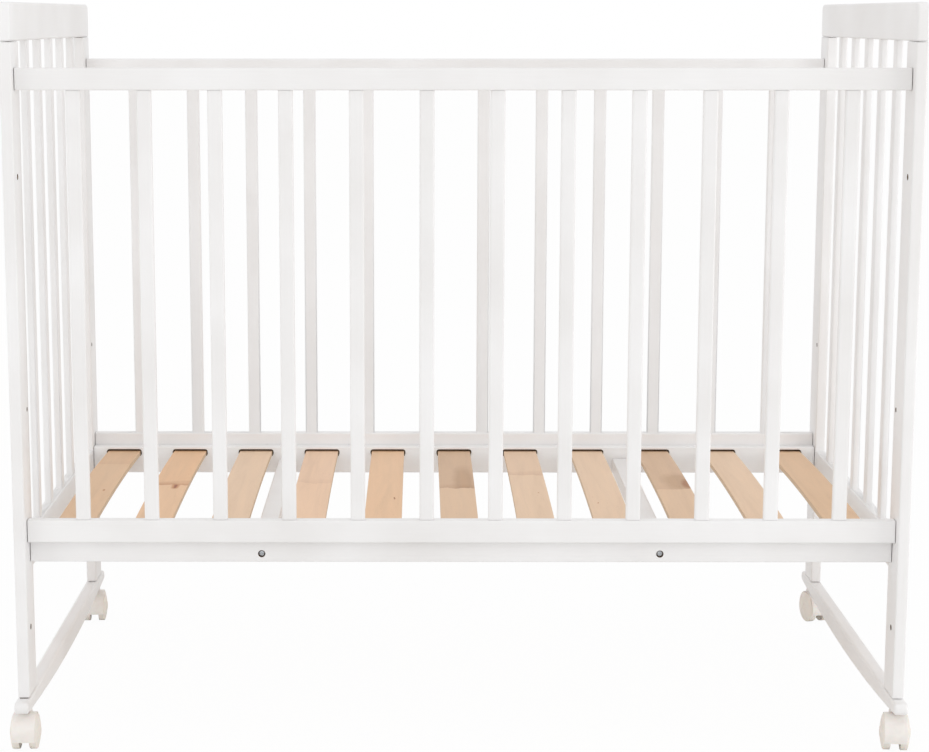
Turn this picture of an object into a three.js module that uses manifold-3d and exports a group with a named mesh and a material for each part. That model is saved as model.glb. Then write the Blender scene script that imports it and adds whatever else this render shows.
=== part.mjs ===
// A white wooden cot with slatted sides, a lowering front, a slatted bed base and four
// twin-wheel casters under its two rockers.
// X runs along the cot, Y from front to back and Z up; the floor is at Z = 0 and the
// origin is on the floor under the cot's centre. All sizes are in millimetres.
import * as THREE from "three";
import { mergeVertices } from "three/addons/utils/BufferGeometryUtils.js";
import Module from "manifold-3d";

// Overall sizes, measured over the posts
const cribLength = 1240;
const cribDepth = 680;
const cribHeight = 1036;

// Gap left between two pieces that touch, the wider gap that shows as a dark line where a
// post meets its cap or rocker, and how far a cutting shape runs past its cut
const fit = 0.3;
const jointGap = 0.8;
const overrun = 4;

// Posts
const postThickness = 16;
const postWidth = 57;
const postEdge = 2;
const postEndEdge = 1;

// Cap rail on top of each pair of posts
const capHeight = 52;
const capCorner = 10;
const capEdge = 2.5;

// Rocker under each pair of posts
const rockerTop = 73;
const rockerThickness = 20;
const rockerOverhang = 24;
const rockerMiddleHeight = 31;
const rockerTipHeight = 16;
const rockerCorner = 7;
const rockerEdge = 4;

// Slats of the four sides, with a tenon at each end
const slatWidth = 20;
const slatThickness = 10;
const slatEdge = 2.5;
const tenonWidth = 12;
const tenonThickness = 6;
const tenonLength = 9;

// Lower rail between the two posts of an end
const endRailBottom = 250;
const endRailHeight = 50;
const endSlatCount = 5;

// Front and back panels
const panelThickness = 18;
const panelEndGap = 0.9;
const panelBelowTop = 87.5;
const topRailHeight = 30;
const bottomRailBottom = 293;
const bottomRailHeight = 32;
const panelRailEdge = 2.5;
const panelSlatCount = 12;
const panelEndSpace = 68;

// Lock pins in the ends of the front panel's rails
const pinRadius = 4;
const pinLength = 30;
const pinTaper = 1.2;
const pinFromRailEdge = 12;
const pinTravel = 11.5;
const pinEndClearance = 0.8;
const panelDrop = 135;

// Bed base rails, with a slot for each end of each bed slat
const baseRailThickness = 18;
const baseRailHeight = 44;
const baseRailBottom = 261;
const baseRailEdge = 2;
const baseRailGap = 0.9;
const baseRailInset = 4.1;
const baseRaise = 194;
const boltRadius = 3.5;
const slotWidth = 58.6;
const slotHeight = 12;
const slotCorner = 4;
const slotDepth = 9;
const slotBelowTop = 4;

// Bed slats, sprung upwards a little
const bedSlatCount = 11;
const bedSlatEndSpace = 51.5;
const bedSlatWidth = 54;
const bedSlatThickness = 8;
const bedSlatSeat = 8;
const bedSlatCamber = 6;
const bedSlatEdge = 1.2;

// Cross beams that tie the two base rails together under the bed slats
const beamWidth = 28;
const beamHeight = 24;
const beamEdge = 2;
const beamEndSpace = 325;
const beamFoot = 0.5;
const screwRadius = 2.5;
const screwHeadRadius = 5.2;
const screwHeadDepth = 5;
const screwHeight = 12;

// Casters: a hood that turns on a stem and two wheels with domed faces on its axle
const wheelRadius = 25;
const wheelSpacing = 14;
const treadWidth = 8.5;
const wheelRolling = 2;
const wheelEdge = 1;
const domeHeight = 3.4;
const hubRadius = 7;
const hubHeight = 0.6;
const hoodWidth = 32;
const hoodRounding = 1.2;
const hoodClearance = 0.5;
const hoodWall = 1.4;
const hoodFloorGap = 15.5;
const hoodBackAngle = 160;
const webWidth = 13;
const axleRadius = 3;
const axleLength = 33;
const swivelInset = 18;
const swivelOffset = 15;
const neckTopRadius = 7.5;
const neckFootRadius = 11;
const stemRadius = 4;
const stemInPost = 12;
const casterTurns = { front_left: 2, front_right: -8, back_left: 4, back_right: 15 };

// How finely round shapes are divided
const edgeSteps = 2;
const cornerSteps = 4;
const curveSteps = 8;
const bevelSteps = 1;
const roundoverSteps = 3;
const holeSides = 16;
const wheelSides = 20;
const hoodSides = 32;
const rollSteps = 2;

// Places worked out from the sizes above
const halfLength = cribLength / 2;
const halfDepth = cribDepth / 2;
const postX = halfLength - postThickness / 2;
const innerX = halfLength - postThickness;
const postY = halfDepth - postWidth / 2;
const innerY = halfDepth - postWidth;
const capBottom = cribHeight - capHeight;
const postBottom = rockerTop + jointGap;
const postLength = capBottom - jointGap - postBottom;
const railLength = 2 * (innerX - panelEndGap);
const panelTopHeight = cribHeight - panelBelowTop;
const topRailZ = panelTopHeight - topRailHeight / 2;
const bottomRailZ = bottomRailBottom + bottomRailHeight / 2;
const panelSlatBottom = bottomRailBottom + bottomRailHeight;
const panelSlatTop = panelTopHeight - topRailHeight;
const panelSlatPitch = (2 * (innerX - panelEndSpace) - slatWidth) / (panelSlatCount - 1);
const endSlatPitch = (2 * innerY + slatWidth) / (endSlatCount + 1);
const upperPinZ = panelTopHeight - pinFromRailEdge;
const lowerPinZ = bottomRailBottom + pinFromRailEdge;
const pinHoleDepth = pinTravel - panelEndGap - fit + pinEndClearance;
const baseInnerY = innerY + baseRailInset;
const baseY = baseInnerY + baseRailThickness / 2;
const panelY = baseInnerY + baseRailThickness + baseRailGap + panelThickness / 2;
const backPanelY = baseInnerY + baseRailThickness + fit + panelThickness / 2;
const baseZ = baseRailBottom + baseRailHeight / 2;
const slotZ = baseRailBottom + baseRailHeight - slotBelowTop - slotHeight / 2;
const bedSlatPitch = (2 * (innerX - bedSlatEndSpace)) / (bedSlatCount - 1);
const beamX = innerX - beamEndSpace;
const beamBottom = baseRailBottom + beamFoot;
const screwZ = baseRailBottom + screwHeight;
const swivelY = halfDepth - swivelInset;
const hoodInner = wheelRadius + hoodClearance;
const hoodOuter = hoodInner + hoodWall;
const rockerHalf = halfDepth + rockerOverhang;
const rockerRise = rockerMiddleHeight - rockerTipHeight;
const rockerRadius = (rockerHalf * rockerHalf + rockerRise * rockerRise) / (2 * rockerRise);

const quarter = Math.PI / 2;

const wasm = await Module();
wasm.setup();

// Materials
const whitePaint = new THREE.MeshStandardMaterial({ color: 0xf1f0ee, roughness: 0.42, metalness: 0 });
const birch = new THREE.MeshStandardMaterial({ color: 0xdbbda0, roughness: 0.55, metalness: 0 });
const hoodNylon = new THREE.MeshStandardMaterial({ color: 0xe8e6de, roughness: 0.38, metalness: 0 });
const wheelNylon = new THREE.MeshStandardMaterial({ color: 0xe4dccb, roughness: 0.45, metalness: 0 });
const steel = new THREE.MeshStandardMaterial({ color: 0xb9bcbf, roughness: 0.3, metalness: 1 });

// Turns a closed geometry into a solid that can be joined and cut
function solidOf(geometry) {
  geometry.deleteAttribute("normal");
  geometry.deleteAttribute("uv");
  const merged = mergeVertices(geometry);
  const vertProperties = merged.attributes.position.array;
  const triVerts = new Uint32Array(merged.index.array);
  return new wasm.Manifold(new wasm.Mesh({ numProp: 3, vertProperties, triVerts }));
}

// Turns a solid back into a geometry with flat faces
function geometryOf(solid) {
  const mesh = solid.getMesh();
  const geometry = new THREE.BufferGeometry();
  geometry.setAttribute("position", new THREE.BufferAttribute(mesh.vertProperties, mesh.numProp));
  geometry.setIndex(new THREE.BufferAttribute(mesh.triVerts, 1));
  const flat = geometry.toNonIndexed();
  flat.computeVertexNormals();
  return flat;
}

// Cuts a list of geometries out of a geometry
function cut(geometry, cutters) {
  return geometryOf(cutters.reduce((left, cutter) => left.subtract(solidOf(cutter)), solidOf(geometry)));
}

// Joins a list of geometries into one solid piece
function join(geometries) {
  return geometryOf(geometries.map(solidOf).reduce((whole, piece) => whole.add(piece)));
}

// Adds one named piece to a group
function addPiece(group, name, geometry, material, x = 0, y = 0, z = 0) {
  const mesh = new THREE.Mesh(geometry, material);
  mesh.name = name;
  mesh.position.set(x, y, z);
  group.add(mesh);
  return mesh;
}

// Evenly spaced places with their middle at zero
function spread(count, pitch) {
  return Array.from({ length: count }, (_, index) => (index - (count - 1) / 2) * pitch);
}

// Points along an arc
function arc(x, y, radius, from, to, steps) {
  return Array.from({ length: steps + 1 }, (_, step) => {
    const angle = from + ((to - from) * step) / steps;
    return new THREE.Vector2(x + radius * Math.cos(angle), y + radius * Math.sin(angle));
  });
}

// The outline of a board with rounded corners, centred on the origin
function roundedOutline(width, height, radius) {
  const x = width / 2 - radius;
  const y = height / 2 - radius;
  return new THREE.Shape([
    ...arc(x, y, radius, 0, quarter, edgeSteps),
    ...arc(-x, y, radius, quarter, 2 * quarter, edgeSteps),
    ...arc(-x, -y, radius, 2 * quarter, 3 * quarter, edgeSteps),
    ...arc(x, -y, radius, 3 * quarter, 4 * quarter, edgeSteps),
  ]);
}

// A bar with rounded long edges that stands on the XY plane
function uprightBar(width, depth, radius, length) {
  const outline = roundedOutline(width, depth, radius);
  return new THREE.ExtrudeGeometry(outline, { depth: length, bevelEnabled: false });
}

// A post's bar: the same, with its ends eased too
function postBar() {
  const outline = roundedOutline(postThickness, postWidth, postEdge);
  const bar = new THREE.ExtrudeGeometry(outline, {
    depth: postLength - 2 * postEndEdge,
    bevelThickness: postEndEdge,
    bevelSize: postEndEdge,
    bevelOffset: -postEndEdge,
    bevelSegments: bevelSteps,
  });
  return bar.translate(0, 0, postEndEdge);
}

// A plain bar lying along X, centred on the origin, with its height along Z
function barAlongX(depth, height, radius, length) {
  const bar = uprightBar(height, depth, radius, length);
  return bar.translate(0, 0, -length / 2).rotateY(quarter);
}

// The same bar lying along Y, centred on the origin, with its height along Z
function barAlongY(width, height, radius, length) {
  const bar = uprightBar(width, height, radius, length);
  return bar.translate(0, 0, -length / 2).rotateX(quarter);
}

// A board cut to an outline in the YZ plane, with eased edges, centred on X = 0
function boardFromOutline(outline, thickness, edge, steps) {
  const board = new THREE.ExtrudeGeometry(outline, {
    depth: thickness - 2 * edge,
    bevelThickness: edge,
    bevelSize: edge,
    bevelOffset: -edge,
    bevelSegments: steps,
  });
  const alongX = new THREE.Vector3(1, 0, 0);
  const alongY = new THREE.Vector3(0, 1, 0);
  const alongZ = new THREE.Vector3(0, 0, 1);
  board.translate(0, 0, edge - thickness / 2);
  return board.applyMatrix4(new THREE.Matrix4().makeBasis(alongY, alongZ, alongX));
}

// Round cutters: one standing, and one lying along X or Y, each centred on its own middle
function roundAlongZ(radius, length) {
  return new THREE.CylinderGeometry(radius, radius, length, holeSides).rotateX(quarter);
}

function roundAlongX(radius, length) {
  return new THREE.CylinderGeometry(radius, radius, length, holeSides).rotateZ(quarter);
}

function roundAlongY(radius, length) {
  return new THREE.CylinderGeometry(radius, radius, length, holeSides);
}

// A slat that stands on Z = 0, with a tenon below and above its shoulders
function slatWithTenons(length) {
  const tenon = new THREE.BoxGeometry(tenonWidth, tenonThickness, length + 2 * tenonLength);
  return join([uprightBar(slatWidth, slatThickness, slatEdge, length), tenon.translate(0, 0, length / 2)]);
}

// The pocket that takes one tenon, open at the height given
function tenonPocket(x, y, z) {
  const width = tenonWidth + 2 * fit;
  const thickness = tenonThickness + 2 * fit;
  return new THREE.BoxGeometry(width, thickness, 2 * (tenonLength + fit)).translate(x, y, z);
}

// A post: bolt holes for both heights of the bed base, the caster's stem hole, and in a
// front post the blind holes that the lock pins enter at both heights of the front panel
function post(side, end) {
  const holes = [];
  const boltY = end * (baseY - postY);
  for (const z of [baseZ, baseZ + baseRaise])
    holes.push(roundAlongX(boltRadius, postThickness + overrun).translate(0, boltY, z - postBottom));
  const stemHole = roundAlongZ(stemRadius + fit, 2 * stemInPost);
  holes.push(stemHole.translate(0, end * (swivelY - postY), 0));
  if (end < 0)
    for (const z of [upperPinZ, lowerPinZ, upperPinZ - panelDrop, lowerPinZ - panelDrop])
      holes.push(pinHole(side).translate(0, end * (panelY - postY), z - postBottom));
  return cut(postBar(), holes);
}

// A blind hole in a post's inner face
function pinHole(side) {
  const middle = side * (postThickness / 2 + overrun / 2 - pinHoleDepth / 2);
  return roundAlongX(pinRadius + fit, pinHoleDepth + overrun).translate(-middle, 0, 0);
}

// A cap rail with its rounded top corners and a pocket for each slat of the end
function capRail() {
  const outline = new THREE.Shape([
    ...arc(capEdge - halfDepth, capEdge, capEdge, 2 * quarter, 3 * quarter, edgeSteps),
    ...arc(halfDepth - capEdge, capEdge, capEdge, 3 * quarter, 4 * quarter, edgeSteps),
    ...arc(halfDepth - capCorner, capHeight - capCorner, capCorner, 0, quarter, cornerSteps),
    ...arc(capCorner - halfDepth, capHeight - capCorner, capCorner, quarter, 2 * quarter, cornerSteps),
  ]);
  const pockets = spread(endSlatCount, endSlatPitch).map((y) => quarterTurned(tenonPocket(0, 0, 0), y));
  return cut(boardFromOutline(outline, postThickness, capEdge, edgeSteps), pockets);
}

// Turns an end slat's shape a quarter round, because an end runs along Y, and moves it
function quarterTurned(geometry, y) {
  return geometry.rotateZ(quarter).translate(0, y, 0);
}

// An end's lower rail with its five slats glued in
function slattedEndRail() {
  const rail = barAlongY(postThickness, endRailHeight, postEdge, 2 * (innerY - fit));
  const slatLength = capBottom - fit - endRailBottom - endRailHeight;
  const slats = spread(endSlatCount, endSlatPitch).map((y) => quarterTurned(slatWithTenons(slatLength), y));
  return join([rail.translate(0, 0, -endRailHeight / 2), ...slats]);
}

// The height of a rocker's curved underside at a distance from the cot's middle
function rockerUnderside(y) {
  return rockerTop - rockerMiddleHeight + rockerRadius - Math.sqrt(rockerRadius * rockerRadius - y * y);
}

// A rocker: straight on top, a long curve below, with the caster's stem hole at each end
function rocker() {
  const reach = rockerHalf - rockerCorner;
  const swing = Math.asin(reach / rockerRadius);
  const upper = rockerTop - rockerCorner;
  const lower = rockerUnderside(reach) + rockerCorner;
  const centre = rockerTop - rockerMiddleHeight + rockerRadius;
  const outline = new THREE.Shape([
    ...arc(reach, upper, rockerCorner, 0, quarter, cornerSteps),
    ...arc(-reach, upper, rockerCorner, quarter, 2 * quarter, cornerSteps),
    ...arc(-reach, lower, rockerCorner, 2 * quarter, 3 * quarter - swing, cornerSteps),
    ...arc(0, centre, rockerRadius, 3 * quarter - swing, 3 * quarter + swing, 2 * curveSteps).slice(1, -1),
    ...arc(reach, lower, rockerCorner, 3 * quarter + swing, 4 * quarter, cornerSteps),
  ]);
  const holes = [-swivelY, swivelY].map((y) => {
    const hole = roundAlongZ(stemRadius + fit, 2 * rockerMiddleHeight);
    return hole.translate(0, y, rockerTop);
  });
  return cut(boardFromOutline(outline, rockerThickness, rockerEdge, roundoverSteps), holes);
}

// A rail of a front or back panel, with its slats' pockets on the face given
function panelRail(height, pocketSide, extraCuts) {
  const rail = barAlongX(panelThickness, height, panelRailEdge, railLength);
  const face = (pocketSide * height) / 2;
  const pockets = spread(panelSlatCount, panelSlatPitch).map((x) => tenonPocket(x, 0, face));
  return cut(rail, [...pockets, ...extraCuts]);
}

// The bores in both ends of a front rail that its lock pins slide in
function pinBores(z) {
  const reach = pinLength + 2 * fit + overrun;
  const middle = railLength / 2 + overrun - reach / 2;
  return [-1, 1].map((side) => roundAlongX(pinRadius + fit, reach).translate(side * middle, 0, z));
}

// A lock pin, lying along X with its tapered tip at the origin and its body behind it
function lockPin(side) {
  const points = [
    new THREE.Vector2(0, -pinLength),
    new THREE.Vector2(pinRadius, -pinLength),
    new THREE.Vector2(pinRadius, -pinTaper),
    new THREE.Vector2(pinRadius - pinTaper, 0),
    new THREE.Vector2(0, 0),
  ];
  return new THREE.LatheGeometry(points, holeSides).rotateZ(-side * quarter);
}

// The back panel's bottom rail with its twelve slats glued in
function slattedBackRail() {
  const slatLength = panelSlatTop - fit - panelSlatBottom;
  const places = spread(panelSlatCount, panelSlatPitch);
  const slats = places.map((x) => slatWithTenons(slatLength).translate(x, 0, 0));
  const rail = barAlongX(panelThickness, bottomRailHeight, panelRailEdge, railLength);
  return join([rail.translate(0, 0, -bottomRailHeight / 2), ...slats]);
}

// A bed base rail: slots in its inner face and a countersunk screw hole for each beam
function baseRail(end) {
  const rail = barAlongX(baseRailThickness, baseRailHeight, baseRailEdge, railLength);
  const innerFace = (-end * baseRailThickness) / 2;
  const cuts = spread(bedSlatCount, bedSlatPitch).map((x) => {
    const slot = barAlongY(slotWidth, slotHeight, slotCorner, 2 * slotDepth);
    return slot.translate(x, innerFace, slotZ - baseZ);
  });
  for (const x of [-beamX, beamX]) {
    cuts.push(roundAlongY(screwRadius, baseRailThickness + overrun).translate(x, 0, screwZ - baseZ));
    cuts.push(roundAlongY(screwHeadRadius, 2 * screwHeadDepth).translate(x, -innerFace, screwZ - baseZ));
  }
  for (const side of [-1, 1])
    cuts.push(roundAlongX(boltRadius, 2 * pinLength).translate((side * railLength) / 2, 0, 0));
  return cut(rail, cuts);
}

// A bed slat bent into a shallow arch along Y, its ends standing at Z = 0
function bedSlat() {
  const half = baseInnerY + bedSlatSeat;
  const radius = (half * half + bedSlatCamber * bedSlatCamber) / (2 * bedSlatCamber);
  const swing = Math.asin(half / radius);
  const centre = bedSlatCamber - radius;
  const outline = new THREE.Shape([
    ...arc(0, centre, radius, quarter + swing, quarter - swing, curveSteps),
    ...arc(0, centre, radius + bedSlatThickness, quarter - swing, quarter + swing, curveSteps),
  ]);
  return boardFromOutline(outline, bedSlatWidth, bedSlatEdge, bevelSteps);
}

// A cross beam with a pilot hole in each end for its screw
function crossBeam() {
  const length = 2 * (baseInnerY - fit);
  const pilots = [-1, 1].map((end) => {
    const pilot = roundAlongY(screwRadius, 2 * pinLength);
    return pilot.translate(0, (end * length) / 2, screwZ - beamBottom - beamHeight / 2);
  });
  return cut(barAlongY(beamWidth, beamHeight, beamEdge, length), pilots);
}

// A caster's hood with its neck, stem and axle, turning about the Z axis. The wheels'
// centre is in front of the stem, which is towards -Y before the caster is turned.
function casterHood() {
  const lowAngle = -Math.asin((wheelRadius - hoodFloorGap) / hoodOuter);
  const web = new THREE.Shape(arc(0, 0, hoodInner + fit, lowAngle, 2 * quarter - lowAngle, 2 * curveSteps));
  const sector = new THREE.Shape([
    new THREE.Vector2(0, 0),
    ...arc(0, 0, 2 * hoodOuter, lowAngle, THREE.MathUtils.degToRad(hoodBackAngle), curveSteps),
  ]);
  const guard = solidOf(hoodRing()).intersect(solidOf(alongAxle(sector, 2 * hoodWidth)));
  const neck = solidOf(neckAndStem()).subtract(solidOf(wheelSpace()));
  const axle = atAxle(roundAlongX(axleRadius, axleLength));
  return geometryOf(guard.add(solidOf(alongAxle(web, webWidth))).add(neck).add(solidOf(axle)));
}

// The full ring that the hood is a part of, over the treads of both wheels
function hoodRing() {
  const shoulder = hoodOuter - hoodRounding;
  const side = hoodWidth / 2;
  const outline = [
    new THREE.Vector2(hoodInner, -side),
    ...arc(shoulder, hoodRounding - side, hoodRounding, -quarter, 0, rollSteps),
    ...arc(shoulder, side - hoodRounding, hoodRounding, 0, quarter, rollSteps),
    new THREE.Vector2(hoodInner, side),
  ];
  return atAxle(new THREE.LatheGeometry([...outline, outline[0]], hoodSides).rotateZ(quarter));
}

// The neck above the hood and the stem that turns in the rocker and the post
function neckAndStem() {
  const neckTop = rockerUnderside(swivelY - neckTopRadius) - fit;
  const neckFoot = wheelRadius + (neckTop - wheelRadius) / 2;
  const stemTop = postBottom + stemInPost - fit;
  return new THREE.LatheGeometry([
    new THREE.Vector2(0, neckFoot),
    new THREE.Vector2(neckFootRadius, neckFoot),
    new THREE.Vector2(neckTopRadius, neckTop),
    new THREE.Vector2(stemRadius, neckTop),
    new THREE.Vector2(stemRadius, stemTop),
    new THREE.Vector2(0, stemTop),
  ], holeSides).rotateX(quarter);
}

// The space in which both wheels turn, on either side of the web
function wheelSpace() {
  const length = (hoodWidth - webWidth) / 2 + overrun;
  const middle = (webWidth + length) / 2;
  const space = [-middle, middle].map((x) => {
    const round = new THREE.CylinderGeometry(hoodInner, hoodInner, length, hoodSides);
    return round.rotateZ(quarter).translate(x, 0, 0);
  });
  return atAxle(join(space));
}

// Moves a shape made round the X axis to the wheels' axle
function atAxle(geometry) {
  return geometry.translate(0, -swivelOffset, wheelRadius);
}

// Extrudes an outline drawn forwards and upwards from the wheels' centre along the axle
function alongAxle(outline, width) {
  const shape = new THREE.ExtrudeGeometry(outline, { depth: width, bevelEnabled: false });
  const forwards = new THREE.Vector3(0, -1, 0);
  const upwards = new THREE.Vector3(0, 0, 1);
  const sideways = new THREE.Vector3(-1, 0, 0);
  shape.translate(0, 0, -width / 2);
  return atAxle(shape.applyMatrix4(new THREE.Matrix4().makeBasis(forwards, upwards, sideways)));
}

// A wheel on the side given: a tread with a rolled shoulder, a domed outer face, a hub cap
// and a blind bore
function casterWheel(side) {
  const bore = axleRadius + fit;
  const boreEnd = (axleLength - wheelSpacing) / 2 + fit;
  const shoulder = wheelRadius - wheelRolling;
  const domeStart = treadWidth + wheelRolling;
  const domeRadius = (shoulder * shoulder + domeHeight * domeHeight) / (2 * domeHeight);
  const centre = domeStart + domeHeight - domeRadius;
  const rim = Math.asin((centre - domeStart) / -domeRadius);
  const hub = Math.acos(hubRadius / domeRadius);
  const dome = arc(0, centre, domeRadius, rim, hub, 2 * rollSteps);
  const hubTop = dome[dome.length - 1].y + hubHeight;
  const points = [
    new THREE.Vector2(0, boreEnd),
    new THREE.Vector2(bore, boreEnd),
    new THREE.Vector2(bore, 0),
    new THREE.Vector2(wheelRadius - wheelEdge, 0),
    new THREE.Vector2(wheelRadius, wheelEdge),
    ...arc(shoulder, treadWidth, wheelRolling, 0, quarter, rollSteps),
    ...dome.slice(1),
    new THREE.Vector2(hubRadius - hubHeight, hubTop),
    new THREE.Vector2(0, hubTop),
  ];
  return new THREE.LatheGeometry(points, wheelSides).rotateZ(-side * quarter);
}

const crib = new THREE.Group();
const sides = { left: -1, right: 1 };
const ends = { front: -1, back: 1 };

// The two end frames
for (const [sideName, side] of Object.entries(sides)) {
  for (const [endName, end] of Object.entries(ends)) {
    const name = `${sideName}_${endName}_post`;
    addPiece(crib, name, post(side, end), whitePaint, side * postX, end * postY, postBottom);
  }
  addPiece(crib, `${sideName}_cap_rail`, capRail(), whitePaint, side * postX, 0, capBottom);
  const endRailTop = endRailBottom + endRailHeight;
  addPiece(crib, `${sideName}_end_slatted_rail`, slattedEndRail(), whitePaint, side * postX, 0, endRailTop);
  addPiece(crib, `${sideName}_rocker`, rocker(), whitePaint, side * postX, 0, 0);
}

// The lowering front panel with its lock pins drawn back
const dropSide = new THREE.Group();
dropSide.position.y = -panelY;
const upperBores = pinBores(upperPinZ - topRailZ);
const lowerBores = pinBores(lowerPinZ - bottomRailZ);
const topRail = panelRail(topRailHeight, -1, upperBores);
const bottomRail = panelRail(bottomRailHeight, 1, lowerBores);
addPiece(dropSide, "drop_side_top_rail", topRail, whitePaint, 0, 0, topRailZ);
addPiece(dropSide, "drop_side_bottom_rail", bottomRail, whitePaint, 0, 0, bottomRailZ);
spread(panelSlatCount, panelSlatPitch).forEach((x, index) => {
  const slat = slatWithTenons(panelSlatTop - panelSlatBottom - 2 * fit);
  addPiece(dropSide, `drop_side_slat_${index + 1}`, slat, whitePaint, x, 0, panelSlatBottom + fit);
});
for (const [sideName, side] of Object.entries(sides)) {
  const tip = side * (railLength / 2 - fit);
  addPiece(dropSide, `upper_${sideName}_lock_pin`, lockPin(side), steel, tip, 0, upperPinZ);
  addPiece(dropSide, `lower_${sideName}_lock_pin`, lockPin(side), steel, tip, 0, lowerPinZ);
}
crib.add(dropSide);

// The fixed back panel
const backTopRail = panelRail(topRailHeight, -1, []);
addPiece(crib, "back_panel_top_rail", backTopRail, whitePaint, 0, backPanelY, topRailZ);
addPiece(crib, "back_panel_slatted_rail", slattedBackRail(), whitePaint, 0, backPanelY, panelSlatBottom);

// The bed base
for (const [endName, end] of Object.entries(ends))
  addPiece(crib, `base_${endName}_rail`, baseRail(end), whitePaint, 0, end * baseY, baseZ);
const beamZ = beamBottom + beamHeight / 2;
for (const [sideName, side] of Object.entries(sides))
  addPiece(crib, `base_${sideName}_beam`, crossBeam(), whitePaint, side * beamX, 0, beamZ);
spread(bedSlatCount, bedSlatPitch).forEach((x, index) => {
  addPiece(crib, `bed_slat_${index + 1}`, bedSlat(), birch, x, 0, slotZ - slotHeight / 2 + fit);
});

// The four casters, each turned a little on its stem
for (const [sideName, side] of Object.entries(sides)) {
  for (const [endName, end] of Object.entries(ends)) {
    const caster = new THREE.Group();
    const name = `${endName}_${sideName}`;
    caster.position.set(side * postX, end * swivelY, 0);
    caster.rotation.z = THREE.MathUtils.degToRad(casterTurns[name]);
    addPiece(caster, `${name}_caster_hood`, casterHood(), hoodNylon);
    for (const [wheelName, wheelSide] of Object.entries(sides)) {
      const inner = (wheelSide * wheelSpacing) / 2;
      const nodeName = `${name}_caster_${wheelName}_wheel`;
      const wheel = casterWheel(wheelSide);
      addPiece(caster, nodeName, wheel, wheelNylon, inner, -swivelOffset, wheelRadius);
    }
    crib.add(caster);
  }
}

export default crib;
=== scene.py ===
from math import asin, cos, pi, radians, sin, sqrt

import bpy
from mathutils import Matrix, Vector
from mathutils.bvhtree import BVHTree


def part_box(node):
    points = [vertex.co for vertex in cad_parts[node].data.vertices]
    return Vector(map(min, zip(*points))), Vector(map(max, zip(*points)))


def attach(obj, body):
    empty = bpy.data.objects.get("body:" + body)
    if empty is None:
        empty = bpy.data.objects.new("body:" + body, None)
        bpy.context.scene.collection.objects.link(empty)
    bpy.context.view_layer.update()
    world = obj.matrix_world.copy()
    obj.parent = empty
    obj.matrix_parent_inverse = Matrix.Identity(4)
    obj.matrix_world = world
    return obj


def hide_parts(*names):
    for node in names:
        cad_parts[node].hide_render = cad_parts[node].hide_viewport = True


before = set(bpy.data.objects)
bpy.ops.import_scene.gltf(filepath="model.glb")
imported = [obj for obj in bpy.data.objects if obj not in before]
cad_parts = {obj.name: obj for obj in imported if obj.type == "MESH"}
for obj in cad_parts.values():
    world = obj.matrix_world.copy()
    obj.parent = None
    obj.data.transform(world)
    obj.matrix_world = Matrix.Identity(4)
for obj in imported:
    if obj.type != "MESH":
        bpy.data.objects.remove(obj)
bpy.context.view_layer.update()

# Camera: where the photograph was taken from, found by fitting a camera to the crib's own edges.
# It stands 3.2 m in front of the crib's middle, at waist height, and looks slightly down.
camera_place = (-0.0590, -3.1990, 1.0162)
camera_tilt = radians(80.815)
camera_turn = radians(0.212)
camera_lens = 82.25
camera_shift = (0.0576, -0.0172)

camera_data = bpy.data.cameras.new("photo_camera")
camera_data.lens = camera_lens
camera_data.shift_x, camera_data.shift_y = camera_shift
camera = bpy.data.objects.new("photo_camera", camera_data)
camera.location = camera_place
camera.rotation_euler = (camera_tilt, 0, camera_turn)
bpy.context.scene.collection.objects.link(camera)
bpy.context.scene.camera = camera


# Studio: a white room with soft light from all round and four large softboxes, as for a catalogue
# photograph. What the camera sees of the room is plain white, and its floor is nearly so, which
# keeps a trace of the crib's shadow.
def linear(colour):
    """The linear value of an sRGB hex colour."""
    shares = [int(colour[place:place + 2], 16) / 255 for place in (1, 3, 5)]
    return [s / 12.92 if s <= 0.04045 else ((s + 0.055) / 1.055) ** 2.4 for s in shares] + [1]


def add_node(tree, kind, settings=None, links=None):
    """Adds a node, sets its properties or its inputs' values, and links its inputs. An input goes
    by its name, or by its number where several share one."""
    node = tree.nodes.new(kind)
    for name, value in (settings or {}).items():
        if isinstance(name, str) and hasattr(node, name):
            setattr(node, name, value)
        else:
            node.inputs[name].default_value = value
    for name, source in (links or {}).items():
        tree.links.new(source, node.inputs[name])
    return node


def empty_material(name):
    """A new material with no nodes yet."""
    material = bpy.data.materials.new(name)
    material.use_nodes = True
    material.node_tree.nodes.clear()
    return material


room_colour = linear("#FFFFFF")
room_light, room_reflection = 0.82, 0.90
scene = bpy.context.scene
scene.view_settings.view_transform = "Standard"
world = bpy.data.worlds.new("white_room")
scene.world = world
world.use_nodes = True
tree = world.node_tree
tree.nodes.clear()
rays = add_node(tree, "ShaderNodeLightPath")
clear = add_node(tree, "ShaderNodeMath", {"operation": "MAXIMUM"},
                 {0: rays.outputs["Is Camera Ray"], 1: rays.outputs["Is Transmission Ray"]})
soft = add_node(tree, "ShaderNodeBackground", {"Color": room_colour, "Strength": room_light})
mirrored = add_node(tree, "ShaderNodeBackground",
                    {"Color": room_colour, "Strength": room_reflection})
seen = add_node(tree, "ShaderNodeBackground", {"Color": room_colour, "Strength": 1})
indirect = add_node(tree, "ShaderNodeMixShader", None,
                    {0: rays.outputs["Is Glossy Ray"], 1: soft.outputs[0], 2: mirrored.outputs[0]})
backdrop = add_node(tree, "ShaderNodeMixShader", None,
                    {0: clear.outputs[0], 1: indirect.outputs[0], 2: seen.outputs[0]})
add_node(tree, "ShaderNodeOutputWorld", None, {"Surface": backdrop.outputs[0]})

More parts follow.
